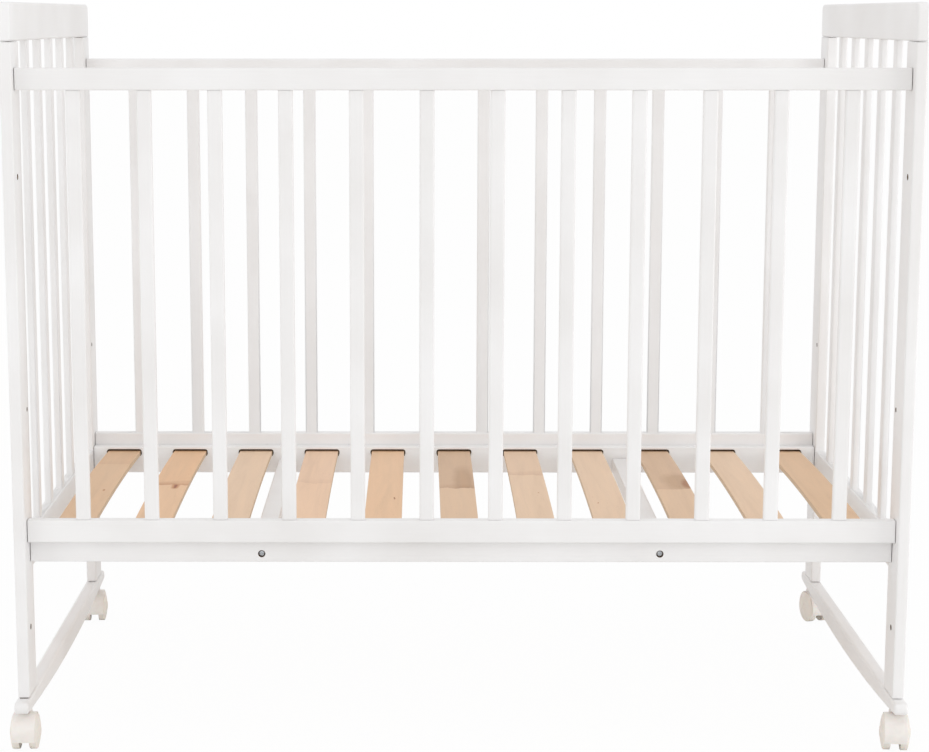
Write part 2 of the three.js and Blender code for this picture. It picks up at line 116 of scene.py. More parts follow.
# Each softbox's place, its width and its power in watts.
lamps = {
    "front_softbox": ((-0.6, -3.4, 2.0), 2.0, 5),
    "top_softbox": ((0.3, -0.6, 3.2), 2.4, 7),
    "right_softbox": ((3.6, -1.6, 0.85), 1.5, 28),
    "left_softbox": ((-2.8, -1.8, 0.9), 1.4, 9),
}
lamp_target = Vector((0, 0, 0.5))
for name, (place, width, power) in lamps.items():
    lamp_data = bpy.data.lights.new(name, "AREA")
    lamp_data.shape = "SQUARE"
    lamp_data.size = width
    lamp_data.energy = power
    lamp = bpy.data.objects.new(name, lamp_data)
    lamp.location = place
    lamp.rotation_euler = (lamp_target - Vector(place)).to_track_quat("-Z", "Y").to_euler()
    scene.collection.objects.link(lamp)

floor_width = 60
floor_colour = linear("#F4F4F3")
floor_whiteness = 0.96
bpy.ops.object.select_all(action="DESELECT")
bpy.ops.mesh.primitive_plane_add(size=floor_width, location=(0, 0, 0))
floor = bpy.context.object
floor.name = "studio_floor"
floor_paper = empty_material("matt_white_floor_paper")
tree = floor_paper.node_tree
paper = add_node(tree, "ShaderNodeBsdfPrincipled", {"Base Color": floor_colour, "Roughness": 0.9})
white = add_node(tree, "ShaderNodeEmission", {"Color": room_colour, "Strength": 1})
rays = add_node(tree, "ShaderNodeLightPath")
share = add_node(tree, "ShaderNodeMath", {"operation": "MULTIPLY", 1: floor_whiteness},
                 {0: rays.outputs["Is Camera Ray"]})
mixed = add_node(tree, "ShaderNodeMixShader", None,
                 {0: share.outputs[0], 1: paper.outputs[0], 2: white.outputs[0]})
add_node(tree, "ShaderNodeOutputMaterial", None, {"Surface": mixed.outputs[0]})
floor.data.materials.append(floor_paper)


# Posts: four upright boards of solid beech, planed, with softened edges and sprayed with white
# lacquer. They are drilled for the bolts of the bed base and for the lock pins of the front.
def white_lacquer(name, grain_axis):
    """Sprayed satin white lacquer over beech: even and clean, the wood's pores just telegraphing
    along the grain, a fine orange peel from the spray gun and the faintest warm clouding. Beech's
    own pores are too fine to show, so they are drawn coarser."""
    material = empty_material(name)
    tree = material.node_tree
    # Patterns are sized in millimetres, here and below, so that 1000 / size is a texture's scale.
    pore_length, pore_width, peel, clouding, pore_share = 45, 1.6, 1.1, 130, 0.2
    per_metre = [1000 / (pore_length if axis == grain_axis else pore_width) for axis in "XYZ"]
    place = add_node(tree, "ShaderNodeTexCoord").outputs["Object"]
    stretched = add_node(tree, "ShaderNodeMapping", {"Scale": per_metre}, {"Vector": place})
    pores = add_node(tree, "ShaderNodeTexNoise", {"Scale": 1, "Detail": 3, "Roughness": 0.6},
                     {"Vector": stretched.outputs[0]})
    spray = add_node(tree, "ShaderNodeTexNoise", {"Scale": 1000 / peel, "Detail": 1},
                     {"Vector": place})
    cloud = add_node(tree, "ShaderNodeTexNoise", {"Scale": 1000 / clouding, "Detail": 2},
                     {"Vector": place})
    blend = add_node(tree, "ShaderNodeMath", {"operation": "MULTIPLY_ADD", 1: pore_share},
                     {0: pores.outputs["Fac"], 2: cloud.outputs["Fac"]})
    tone = add_node(tree, "ShaderNodeValToRGB", None, {"Fac": blend.outputs[0]})
    for stop, at, colour in zip(tone.color_ramp.elements, (0.38, 0.82), ("#EDEBEA", "#F5F4F4")):
        stop.position, stop.color = at, linear(colour)
    shine = add_node(tree, "ShaderNodeMapRange", {"To Min": 0.34, "To Max": 0.46},
                     {"Value": cloud.outputs["Fac"]})
    relief = add_node(tree, "ShaderNodeBump", {"Strength": 0.20, "Distance": 0.00006},
                      {"Height": pores.outputs["Fac"]})
    relief = add_node(tree, "ShaderNodeBump", {"Strength": 0.12, "Distance": 0.00004},
                      {"Height": spray.outputs["Fac"], "Normal": relief.outputs[0]})
    lacquer = add_node(tree, "ShaderNodeBsdfPrincipled",
                       {"IOR": 1.5, "Coat Weight": 0.12, "Coat Roughness": 0.2},
                       {"Base Color": tone.outputs[0], "Roughness": shine.outputs[0],
                        "Normal": relief.outputs[0]})
    add_node(tree, "ShaderNodeOutputMaterial", None, {"Surface": lacquer.outputs[0]})
    return material


def shaded_bare_beech(name):
    """Unpainted beech where a hole, slot or joint was cut: tan wood with short dark rays, matt. Its
    tones are far darker than bare beech, as painted shade, which reads as the fine dark line of a
    joint and the shade in holes and slots."""
    material = empty_material(name)
    tree = material.node_tree
    ray_length, ray_width = 3, 0.5
    place = add_node(tree, "ShaderNodeTexCoord").outputs["Object"]
    drawn = add_node(tree, "ShaderNodeMapping",
                     {"Scale": (1000 / ray_width, 1000 / ray_width, 1000 / ray_length)},
                     {"Vector": place})
    rays = add_node(tree, "ShaderNodeTexNoise", {"Scale": 1, "Detail": 3},
                    {"Vector": drawn.outputs[0]})
    tone = add_node(tree, "ShaderNodeValToRGB", None, {"Fac": rays.outputs["Fac"]})
    # Painted shade: both tones are far darker than bare beech, so that joints, holes and slots read
    # dark.
    for stop, at, colour in zip(tone.color_ramp.elements, (0.35, 0.65), ("#5A4330", "#74583F")):
        stop.position, stop.color = at, linear(colour)
    relief = add_node(tree, "ShaderNodeBump", {"Strength": 0.3, "Distance": 0.0001},
                      {"Height": rays.outputs["Fac"]})
    wood = add_node(tree, "ShaderNodeBsdfPrincipled", {"IOR": 1.5, "Roughness": 0.8},
                    {"Base Color": tone.outputs[0], "Normal": relief.outputs[0]})
    add_node(tree, "ShaderNodeOutputMaterial", None, {"Surface": wood.outputs[0]})
    return material


def select_only(piece):
    """Makes a piece the only selected one and the one that operators work on."""
    bpy.ops.object.select_all(action="DESELECT")
    piece.select_set(True)
    bpy.context.view_layer.objects.active = piece


def in_edit(piece):
    """Opens a piece for editing with everything in it selected."""
    select_only(piece)
    bpy.ops.object.mode_set(mode="EDIT")
    bpy.ops.mesh.select_all(action="SELECT")


def lies_at(face, height):
    """Whether a face is level and at a height."""
    return abs(face.center.z - height) < hairbreadth and abs(face.normal.z) > square_on


def meet(piece, post, height):
    """Marks on a piece's level face, at a height, the outline of the post that meets it there."""
    low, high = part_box(post)
    along_x, along_y = (1, 0, 0), (0, 1, 0)
    for direction, place in ((along_x, low), (along_x, high), (along_y, low), (along_y, high)):
        bpy.ops.mesh.select_all(action="DESELECT")
        bpy.ops.object.mode_set(mode="OBJECT")
        for face in piece.data.polygons:
            face.select = lies_at(face, height)
        bpy.ops.object.mode_set(mode="EDIT")
        bpy.ops.mesh.bisect(plane_co=place, plane_no=direction)


def leave_bare_with_painted_shade(piece, ends, joints):
    """Gives the walls of a piece's holes and slots, the end faces that are named by their
    direction, and its places under the posts the bare wood, whose dark tones are painted shade in
    those joints, holes and slots."""
    piece.data.materials.append(cut_beech_with_painted_shade)
    places = [vertex.co for vertex in piece.data.vertices]
    low = [min(place[axis] for place in places) for axis in range(3)]
    high = [max(place[axis] for place in places) for axis in range(3)]
    surface = BVHTree.FromPolygons(places, [face.vertices for face in piece.data.polygons])
    slotted = piece.name.startswith("base")
    spots = [(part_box(post), height) for post, height in joints]
    for face in piece.data.polygons:
        middle, normal = face.center, face.normal
        axis = max(range(3), key=lambda axis: abs(normal[axis]))
        if abs(normal[axis]) > square_on:
            outer = high[axis] if normal[axis] > 0 else low[axis]
            depth = abs(outer - middle[axis])
            is_end = depth < hairbreadth and tuple(map(round, normal)) in ends
            bare = is_end or (slotted and depth > hole_least_depth)
        else:
            start = middle + normal * hairbreadth
            bare = surface.ray_cast(start, normal, hole_most_width)[0] is not None
        for (corner, far_corner), height in spots:
            bare = bare or (lies_at(face, height)
                            and corner.x < middle.x < far_corner.x
                            and corner.y < middle.y < far_corner.y)
        # Bare faces take the dark wood, which is painted shade in joints, holes and slots.
        face.material_index = 1 if bare else 0


def dressed(node, body, material, ends=(), joints=()):
    """A CAD node's own shape with its corners joined and its rounded edges shaded smooth, and with
    its cut surfaces left bare in dark wood that is painted shade. Each joint is a post that meets it
    and the height of that face."""
    piece = bpy.data.objects.new(node + "_finished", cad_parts[node].data.copy())
    scene.collection.objects.link(piece)
    in_edit(piece)
    bpy.ops.mesh.select_mode(type="FACE")
    bpy.ops.mesh.remove_doubles(threshold=weld_gap)
    bpy.ops.mesh.dissolve_limited(angle_limit=flat_angle)
    for post, height in joints:
        meet(piece, post, height)
    bpy.ops.object.mode_set(mode="OBJECT")
    bpy.ops.object.shade_smooth_by_angle(angle=wood_crease)
    bpy.ops.object.modifier_add(type="WEIGHTED_NORMAL")
    piece.modifiers[-1].keep_sharp = True
    bpy.ops.object.modifier_apply(modifier=piece.modifiers[-1].name)
    piece.data.materials.clear()
    piece.data.materials.append(material)
    if ends or joints:
        leave_bare_with_painted_shade(piece, ends, joints)
    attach(piece, body)
    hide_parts(node)


weld_gap, hairbreadth, square_on = 0.000005, 0.0001, 0.9999
flat_angle, wood_crease = radians(0.2), radians(50)
hole_least_depth, hole_most_width = 0.0005, 0.014
# Bare wood for cut surfaces, drawn dark as painted shade in joints, holes and slots.
cut_beech_with_painted_shade = shaded_bare_beech("bare_cut_beech_painted_shade")
lacquer_along = {axis: white_lacquer(f"white_lacquered_beech_grain_{axis.lower()}", axis)
                 for axis in "XYZ"}
up, down = (0, 0, 1), (0, 0, -1)
# Post ends left bare and drawn dark as painted joint shade: all under the caps, and the left front
# post's foot on its rocker.
bare_post_ends_with_painted_shade = {
    "left_front": (up, down),
    "right_front": (up,),
    "left_back": (up,),
    "right_back": (up,),
}
for name, ends in bare_post_ends_with_painted_shade.items():
    dressed(name + "_post", "frame", lacquer_along["Z"], ends)

# Cap rails: a wide beech rail glued and dowelled over each pair of posts, its two top corners
# rounded off and its lower edges eased. Where it meets a post its underside is bare wood, drawn
# dark as painted shade for a fine joint.
for side in ("left", "right"):
    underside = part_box(f"{side}_cap_rail")[0].z
    joints = [(f"{side}_{end}_post", underside) for end in ("front", "back")]
    dressed(f"{side}_cap_rail", "frame", lacquer_along["Y"], joints=joints)

# Ends: five flat slats glued into a low rail between the two posts, and into the cap rail above.
# All are lacquered together once they are glued up.
for side in ("left", "right"):
    dressed(f"{side}_end_slatted_rail", "frame", lacquer_along["Z"])

# Rockers: a curved beech foot screwed up into each pair of posts, so that the crib can rock once
# its casters are pulled out. The bare wood shows in the left one's joint in front, drawn dark as
# painted shade, and the lacquer has run into the other joints.
rocker_top = 0.073
dressed("left_rocker", "frame", lacquer_along["Y"],
        joints=[("left_front_post", rocker_top)])
dressed("right_rocker", "frame", lacquer_along["Y"])

# Back panel: a beech top rail and bottom rail with twelve slats glued between them, lacquered as
# one and fixed between the back posts. The sawn ends of its top rail are left bare, drawn dark as
# painted joint shade.
rail_ends = ((-1, 0, 0), (1, 0, 0))
dressed("back_panel_top_rail", "frame", lacquer_along["X"], rail_ends)
dressed("back_panel_slatted_rail", "frame", lacquer_along["Z"])

# Front side: the same panel, but loose between the front posts, so that it can be let down once
# its four lock pins are drawn back into its rails.
front_slats = 12
# The rails' sawn ends and bores are bare wood, drawn dark as painted shade.
for level in ("top", "bottom"):
    dressed(f"drop_side_{level}_rail", "drop_side", lacquer_along["X"], rail_ends)
for number in range(1, front_slats + 1):
    dressed(f"drop_side_slat_{number}", "drop_side", lacquer_along["Z"])

# Bed base: two beech rails bolted between the posts, with a slot for each end of each slat, and
# two square beams screwed between them.
# The rails' ends, holes and slots are bare wood, drawn dark as painted shade.
for end in ("front", "back"):
    dressed(f"base_{end}_rail", "frame", lacquer_along["X"], rail_ends)
for side in ("left", "right"):
    dressed(f"base_{side}_beam", "frame", lacquer_along["Y"])


# Bed slats: eleven strips of birch plywood, pressed to a slight arch and clear lacquered, sprung
# into the base rails' slots. Their face veneers differ in tone, and some are pieced or have a knot.
def birch_plywood(name, veneer, seam, seam_depth, back_tint, figures):
    """Clear-lacquered rotary-cut birch veneer: pale warm wood with soft growth bands and short dark
    flecks along the slat. Where a veneer is pieced, its back part is a little darker, most of all
    along its fine wavy edge. The glued layers show as thin stripes on the slat's long edges, their
    tones darkened as painted shade on those edges."""
    material = empty_material(name)
    tree = material.node_tree
    fleck_length, fleck_width, band_length, band_width, wave_size = 7, 0.8, 260, 17, 22
    wave_reach, seam_half, seam_fade = (0.008, 0.036, 0), 0.001, 0.035
    figure_rim, figure_core = 1.2, 0.6
    # A Mix node's sockets where it mixes colours, and how it tints one with another.
    mix_share, mix_a, mix_b, mix_result = 0, 6, 7, 2
    tinting = {"data_type": "RGBA", "blend_type": "MULTIPLY"}
    place = add_node(tree, "ShaderNodeTexCoord").outputs["Object"]

    # The growth bands.
    along = add_node(tree, "ShaderNodeMapping",
                     {"Scale": (1000 / band_width, 1000 / band_length, 1000 / band_width)},
                     {"Vector": place})
    band = add_node(tree, "ShaderNodeTexNoise",
                    {"Scale": 1, "Detail": 6, "Roughness": 0.62, "Distortion": 0.6},
                    {"Vector": along.outputs[0]})
    wood = add_node(tree, "ShaderNodeValToRGB", None, {"Fac": band.outputs["Fac"]})
    deep, medium, pale = veneer
    for stop, at, tone in zip(wood.color_ramp.elements, (0.28, 0.74), (deep, pale)):
        stop.position, stop.color = at, linear(tone)
    wood.color_ramp.elements.new(0.5).color = linear(medium)
    colour = wood.outputs["Color"]

    # The seam of a pieced veneer, and its knots and heartwood, all with wavy outlines.
    wave = add_node(tree, "ShaderNodeTexNoise", {"Scale": 1000 / wave_size, "Detail": 3},
                    {"Vector": place})
    wave_shift = add_node(tree, "ShaderNodeVectorMath",
                          {"operation": "SUBTRACT", 1: (0.5, 0.5, 0.5)},
                          {0: wave.outputs["Color"]})
    waved = add_node(tree, "ShaderNodeVectorMath", {"operation": "MULTIPLY_ADD", 1: wave_reach},
                     {0: wave_shift.outputs[0], 2: place})
    if seam is not None:
        waved_y = add_node(tree, "ShaderNodeSeparateXYZ", None, {0: waved.outputs[0]}).outputs["Y"]
        behind = add_node(tree, "ShaderNodeMapRange",
                          {"From Min": seam - seam_half, "From Max": seam + seam_half},
                          {"Value": waved_y})
        fade = add_node(tree, "ShaderNodeMapRange",
                        {"From Min": seam, "From Max": seam + seam_fade,
                         "To Min": seam_depth, "To Max": 0},
                        {"Value": waved_y})
        line = add_node(tree, "ShaderNodeMath", {"operation": "MULTIPLY"},
                        {0: behind.outputs[0], 1: fade.outputs[0]})
        tinted = add_node(tree, "ShaderNodeMix", {**tinting, mix_b: linear(back_tint)},
                          {mix_share: behind.outputs[0], mix_a: colour})
        lined = add_node(tree, "ShaderNodeMix", {**tinting, mix_b: linear("#C9A081")},
                         {mix_share: line.outputs[0], mix_a: tinted.outputs[mix_result]})
        colour = lined.outputs[mix_result]
    for x, y, half_width, half_length, shade in figures:
        centred = add_node(tree, "ShaderNodeMapping",
                           {"Location": (-x / half_width, -y / half_length, 0),
                            "Scale": (1 / half_width, 1 / half_length, 0)},
                           {"Vector": waved.outputs[0]})
        far = add_node(tree, "ShaderNodeVectorMath", {"operation": "LENGTH"},
                       {0: centred.outputs[0]})
        near = add_node(tree, "ShaderNodeMapRange",
                        {"From Min": figure_rim, "From Max": figure_core},
                        {"Value": far.outputs["Value"]})
        if seam is not None and y > seam:
            near = add_node(tree, "ShaderNodeMath", {"operation": "MULTIPLY"},
                            {0: near.outputs[0], 1: behind.outputs[0]})
        marked = add_node(tree, "ShaderNodeMix", {**tinting, mix_b: linear(shade)},
                          {mix_share: near.outputs[0], mix_a: colour})
        colour = marked.outputs[mix_result]

    # The short flecks.
    short = add_node(tree, "ShaderNodeMapping",
                     {"Scale": (1000 / fleck_width, 1000 / fleck_length, 1000 / fleck_width)},
                     {"Vector": place})
    fleck = add_node(tree, "ShaderNodeTexNoise", {"Scale": 1, "Detail": 2, "Roughness": 0.5},
                     {"Vector": short.outputs[0]})
    fleck_cut = add_node(tree, "ShaderNodeMapRange",
                         {"From Min": 0.64, "From Max": 0.80, "To Min": 0, "To Max": 0.45},
                         {"Value": fleck.outputs["Fac"]})
    flecked = add_node(tree, "ShaderNodeMix", {**tinting, mix_b: linear("#C49A72")},
                       {mix_share: fleck_cut.outputs[0], mix_a: colour})

    # The glued layers, which follow the slat's arch round its centre. Their stripes are drawn
    # darker as painted shade on the slat's edges.
    from_centre = add_node(tree, "ShaderNodeVectorMath",
                           {"operation": "SUBTRACT", 1: (0, 0, slat_centre)}, {0: place})
    across = add_node(tree, "ShaderNodeVectorMath", {"operation": "MULTIPLY", 1: (0, 1, 1)},
                      {0: from_centre.outputs[0]})
    distance = add_node(tree, "ShaderNodeVectorMath", {"operation": "LENGTH"},
                        {0: across.outputs[0]})
    layer = add_node(tree, "ShaderNodeMath",
                     {"operation": "SUBTRACT", 1: slat_radius - slat_thickness / 2},
                     {0: distance.outputs["Value"]})
    turn = add_node(tree, "ShaderNodeMath", {"operation": "MULTIPLY", 1: pi / slat_layer},
                    {0: layer.outputs[0]})
    stripe = add_node(tree, "ShaderNodeMath", {"operation": "SINE"}, {0: turn.outputs[0]})
    layer_stripes_with_edge_shade = add_node(tree, "ShaderNodeValToRGB", None, {"Fac": stripe.outputs[0]})
    # Painted shade: both stripe tones are darker than the plies, so that the slat's edges read
    # shaded.
    for stop, tone in zip(layer_stripes_with_edge_shade.color_ramp.elements, ("#DDC2A2", "#BE9469")):
        stop.color = linear(tone)
    facing = add_node(tree, "ShaderNodeNewGeometry").outputs["Normal"]
    sideways = add_node(tree, "ShaderNodeSeparateXYZ", None, {0: facing}).outputs["X"]
    edge = add_node(tree, "ShaderNodeMath", {"operation": "ABSOLUTE"}, {0: sideways})
    edge_share = add_node(tree, "ShaderNodeMapRange", {"From Min": 0.8, "From Max": 0.95},
                          {"Value": edge.outputs[0]})
    finished = add_node(tree, "ShaderNodeMix", {"data_type": "RGBA"},
                        {mix_share: edge_share.outputs[0], mix_a: flecked.outputs[mix_result],
                         mix_b: layer_stripes_with_edge_shade.outputs["Color"]})

    # The lacquer.
    relief = add_node(tree, "ShaderNodeBump", {"Strength": 0.25, "Distance": 0.0001},
                      {"Height": fleck.outputs["Fac"]})
    shine = add_node(tree, "ShaderNodeMapRange", {"To Min": 0.42, "To Max": 0.56},
                     {"Value": band.outputs["Fac"]})
    lacquer = add_node(tree, "ShaderNodeBsdfPrincipled", {"IOR": 1.5},
                       {"Base Color": finished.outputs[mix_result],
                        "Roughness": shine.outputs[0], "Normal": relief.outputs[0]})
    add_node(tree, "ShaderNodeOutputMaterial", None, {"Surface": lacquer.outputs[0]})
    return material


def copied(piece, name, matrix):
    """A copy with a mesh of its own, moved by a matrix while its object stays at the origin."""
    twin = bpy.data.objects.new(name, piece.data.copy())
    twin.data.transform(matrix)
    scene.collection.objects.link(twin)
    return twin


middle_slat, last_slat = 6, 11
slat_low, slat_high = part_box(f"bed_slat_{middle_slat}")
slat_width, slat_half_length = slat_high.x - slat_low.x, slat_high.y
slat_thickness, slat_camber, slat_layer, slat_edge = 0.008, 0.006, 0.0012, 0.0012
slat_radius = (slat_half_length ** 2 + slat_camber ** 2) / (2 * slat_camber)
slat_swing = asin(slat_half_length / slat_radius)
slat_centre = slat_low.z + slat_camber - slat_radius
bpy.ops.object.select_all(action="DESELECT")
bpy.ops.mesh.primitive_plane_add(size=1, rotation=(pi / 2, 0, 0),
                                 location=(0, 0, slat_centre + slat_radius + slat_thickness / 2))
slat = bpy.context.object
bpy.ops.transform.resize(value=(slat_width, 1, slat_thickness))
bpy.ops.object.transform_apply(location=True, rotation=True, scale=True)
in_edit(slat)
bpy.ops.mesh.select_mode(type="VERT")
bpy.ops.mesh.bevel(offset=slat_edge, segments=3, affect="VERTICES")
bpy.ops.mesh.select_all(action="SELECT")
bpy.ops.transform.rotate(value=slat_swing, orient_axis="X", center_override=(0, 0, slat_centre))
bpy.ops.mesh.spin(steps=40, angle=-2 * slat_swing, center=(0, 0, slat_centre), axis=(1, 0, 0))
bpy.ops.mesh.select_all(action="SELECT")
bpy.ops.mesh.normals_make_consistent(inside=False)
bpy.ops.object.mode_set(mode="OBJECT")
bpy.ops.object.shade_smooth_by_angle(angle=wood_crease)

biscuit = ("#DAB48F", "#E1BC97", "#E7C09B")
cream = ("#E9C3A2", "#F1CBAA", "#F7D1AF")
ivory = ("#E3C2A2", "#EACAAB", "#F0CFAF")
honey = ("#E4BC95", "#ECC39C", "#F2C8A1")
rosy = ("#DBB897", "#E2C09F", "#E8C5A3")
knot, knot_ring, heartwood = "#B98C62", "#DDBB9C", "#E9E1D7"
# Each slat's veneer, where its seam is from front to back, how strong the seam is, the tint of the
# part behind it, and its figures: their middle, half their width and length, and their shade.
slat_veneers = {
    1: (biscuit, 0.165, 0.10, "#FCF9F6", [(-0.540, -0.034, 0.002, 0.007, knot_ring)]),
    2: (honey, 0.000, 0.65, "#FCF7F0", [(-0.433, -0.009, 0.007, 0.014, knot_ring),
                                        (-0.433, -0.008, 0.003, 0.006, knot)]),
    3: (ivory, None, 0, None, []),
    4: (cream, 0.016, 0.12, "#FCFCFD", []),
    5: (honey, None, 0, None, [(-0.095, -0.085, 0.0015, 0.007, knot)]),
    6: (rosy, -0.019, 0.30, "#F0ECE8", [(0.011, 0.035, 0.017, 0.110, heartwood)]),
    7: (ivory, 0.077, 0.25, "#FBF9F8", [(0.122, -0.052, 0.0012, 0.005, knot_ring)]),
    8: (ivory, None, 0, None, [(0.208, -0.120, 0.0012, 0.005, knot_ring)]),
    9: (rosy, -0.026, 0.10, "#F4F1EE", [(0.345, 0.030, 0.026, 0.060, heartwood),
                                        (0.358, 0.010, 0.011, 0.040, knot_ring)]),
    10: (ivory, None, 0, None, []),
    11: (biscuit, None, 0, None, []),
}
slat_pitch = (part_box(f"bed_slat_{last_slat}")[0].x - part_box("bed_slat_1")[0].x) / (last_slat - 1)
for number, veneer_facts in slat_veneers.items():
    place = Matrix.Translation(((number - middle_slat) * slat_pitch, 0, 0))
    piece = copied(slat, f"bed_slat_{number}_plywood", place)
    plywood = birch_plywood(f"lacquered_birch_plywood_{number}", *veneer_facts)
    piece.data.materials.append(plywood)
    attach(piece, "frame")
    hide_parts(f"bed_slat_{number}")
bpy.data.objects.remove(slat)


# Screws of the cross beams: four pan-head steel screws, zinc plated, with a cross recess, driven
# through the base rails into the ends of the beams. Their heads sit in counterbores.
def zinc_plated_steel(name, roughness):
    """Zinc-plated steel: a pale, slightly blue metal, a little cloudy from its passivated coat. The
    grain of the plating is too fine to show, so it is drawn coarser."""
    material = empty_material(name)
    tree = material.node_tree
    cloud_size, grit_size = 3, 0.35
    shinier, duller = roughness - 0.06, roughness + 0.08
    place = add_node(tree, "ShaderNodeTexCoord").outputs["Object"]
    cloud = add_node(tree, "ShaderNodeTexNoise", {"Scale": 1000 / cloud_size, "Detail": 3},
                     {"Vector": place})
    grit = add_node(tree, "ShaderNodeTexNoise", {"Scale": 1000 / grit_size, "Detail": 2},
                    {"Vector": place})
    tone = add_node(tree, "ShaderNodeValToRGB", None, {"Fac": cloud.outputs["Fac"]})
    for stop, at, colour in zip(tone.color_ramp.elements, (0.3, 0.7), ("#B4B9BF", "#CDCFD0")):
        stop.position, stop.color = at, linear(colour)
    shine = add_node(tree, "ShaderNodeMapRange", {"To Min": shinier, "To Max": duller},
                     {"Value": cloud.outputs["Fac"]})
    relief = add_node(tree, "ShaderNodeBump", {"Strength": 0.15, "Distance": 0.00003},
                      {"Height": grit.outputs["Fac"]})
    metal = add_node(tree, "ShaderNodeBsdfPrincipled", {"Metallic": 1},
                     {"Base Color": tone.outputs[0], "Roughness": shine.outputs[0],
                      "Normal": relief.outputs[0]})
    add_node(tree, "ShaderNodeOutputMaterial", None, {"Surface": metal.outputs[0]})
    return material


def turned(name, profile, steps):
    """A part turned on a lathe: draws half its profile, given as (length, radius), from a single
    point and spins it about X."""
    bpy.ops.object.select_all(action="DESELECT")
    bpy.ops.mesh.primitive_plane_add(size=0.001, location=(profile[0][0], 0, profile[0][1]))
    piece = bpy.context.object
    piece.name = name
    bpy.ops.object.transform_apply(location=True, rotation=True, scale=True)
    in_edit(piece)
    bpy.ops.mesh.merge(type="CENTER")
    for (x, radius), (next_x, next_radius) in zip(profile, profile[1:]):
        step = (next_x - x, 0, next_radius - radius)
        bpy.ops.mesh.extrude_region_move(TRANSFORM_OT_translate={"value": step})
    bpy.ops.mesh.select_all(action="SELECT")
    bpy.ops.mesh.spin(steps=steps, angle=2 * pi, center=(0, 0, 0), axis=(1, 0, 0))
    bpy.ops.mesh.select_all(action="SELECT")
    bpy.ops.mesh.remove_doubles(threshold=weld_gap)
    bpy.ops.mesh.normals_make_consistent(inside=False)
    bpy.ops.object.mode_set(mode="OBJECT")
    bpy.ops.object.shade_smooth_by_angle(angle=turned_crease)
    return piece


def carved(piece, cutter, operation="DIFFERENCE"):
    """Cuts a second piece out of a first, or joins the two, and clears the second away."""
    select_only(piece)
    bpy.ops.object.modifier_add(type="BOOLEAN")
    piece.modifiers[-1].operation = operation
    piece.modifiers[-1].object = cutter
    bpy.ops.object.modifier_apply(modifier=piece.modifiers[-1].name)
    bpy.data.objects.remove(cutter)
    bpy.ops.object.shade_smooth_by_angle(angle=turned_crease)


turned_crease = radians(32)
zinc = zinc_plated_steel("zinc_plated_steel", 0.34)
screw_head, screw_shank, screw_length = 0.0046, 0.0021, 0.028
screw_crown, screw_rim, screw_skirt = 0.0012, 0.0002, 0.0016
recess_width, recess_length, recess_depth = 0.0011, 0.0054, 0.0019
screw_sink, screw_height, screw_place = 0.0026, 0.273, 0.279
screw = turned("beam_screw", [
    (-screw_crown, 0),
    (-screw_crown * 0.94, screw_head * 0.35),
    (-screw_crown * 0.70, screw_head * 0.66),
    (-screw_crown * 0.30, screw_head * 0.90),
    (screw_rim, screw_head),
    (screw_skirt, screw_head * 0.96),
    (screw_skirt, screw_shank),
    (screw_length, screw_shank * 0.9),
    (screw_length + screw_shank, 0),
], steps=32)
for turn in (0, pi / 2):
    bpy.ops.object.select_all(action="DESELECT")
    bpy.ops.mesh.primitive_cube_add(size=1, location=(-screw_crown, 0, 0), rotation=(turn, 0, 0))
    bpy.ops.transform.resize(value=(2 * recess_depth, recess_width, recess_length),
                             orient_type="LOCAL")
    carved(screw, bpy.context.object)
base_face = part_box("base_front_rail")[0].y
for end, facing in (("front", 1), ("back", -1)):
    inward = Matrix.Rotation(facing * pi / 2, 4, "Z")
    for side, x in (("left", -screw_place), ("right", screw_place)):
        seat = Matrix.Translation((x, facing * (base_face + screw_sink), screw_height))
        piece = copied(screw, f"base_{end}_{side}_beam_screw", seat @ inward)
        piece.data.materials.append(zinc)
        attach(piece, "frame")
bpy.data.objects.remove(screw)

# Bolts of the bed base: four zinc-plated furniture bolts with flat hexagon-socket heads, put in
# from outside through the posts into the ends of the base rails.
bolt_head, bolt_rise, bolt_edge, bolt_shank, bolt_length = 0.0070, 0.0022, 0.0006, 0.0030, 0.042
socket_across, socket_depth = 0.0040, 0.0019
bolt_height, bolt_place = 0.283, 0.2961
bolt = turned("base_bolt", [
    (-bolt_rise, 0),
    (-bolt_rise, bolt_head - 2 * bolt_edge),
    (-bolt_rise + bolt_edge * 0.3, bolt_head - bolt_edge),
    (-bolt_rise + bolt_edge, bolt_head - bolt_edge * 0.3),
    (-bolt_edge * 0.4, bolt_head),
    (0, bolt_head),
    (0, bolt_shank),
    (bolt_length - bolt_edge, bolt_shank),
    (bolt_length, bolt_shank - bolt_edge),
    (bolt_length, 0),
], steps=48)
bpy.ops.object.select_all(action="DESELECT")
bpy.ops.mesh.primitive_cylinder_add(
    vertices=6, radius=socket_across / sqrt(3), depth=2 * socket_depth,
    location=(-bolt_rise, 0, 0), rotation=(0, pi / 2, 0))
carved(bolt, bpy.context.object)
post_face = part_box("right_front_post")[1].x
for side, facing in (("left", -1), ("right", 1)):
    inward = Matrix.Rotation(pi if facing > 0 else 0, 4, "Z")
    for end, y in (("front", -bolt_place), ("back", bolt_place)):
        seat = Matrix.Translation((facing * post_face, y, bolt_height))
        piece = copied(bolt, f"{side}_{end}_base_bolt", seat @ inward)
        piece.data.materials.append(zinc)
        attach(piece, "frame")
bpy.data.objects.remove(bolt)

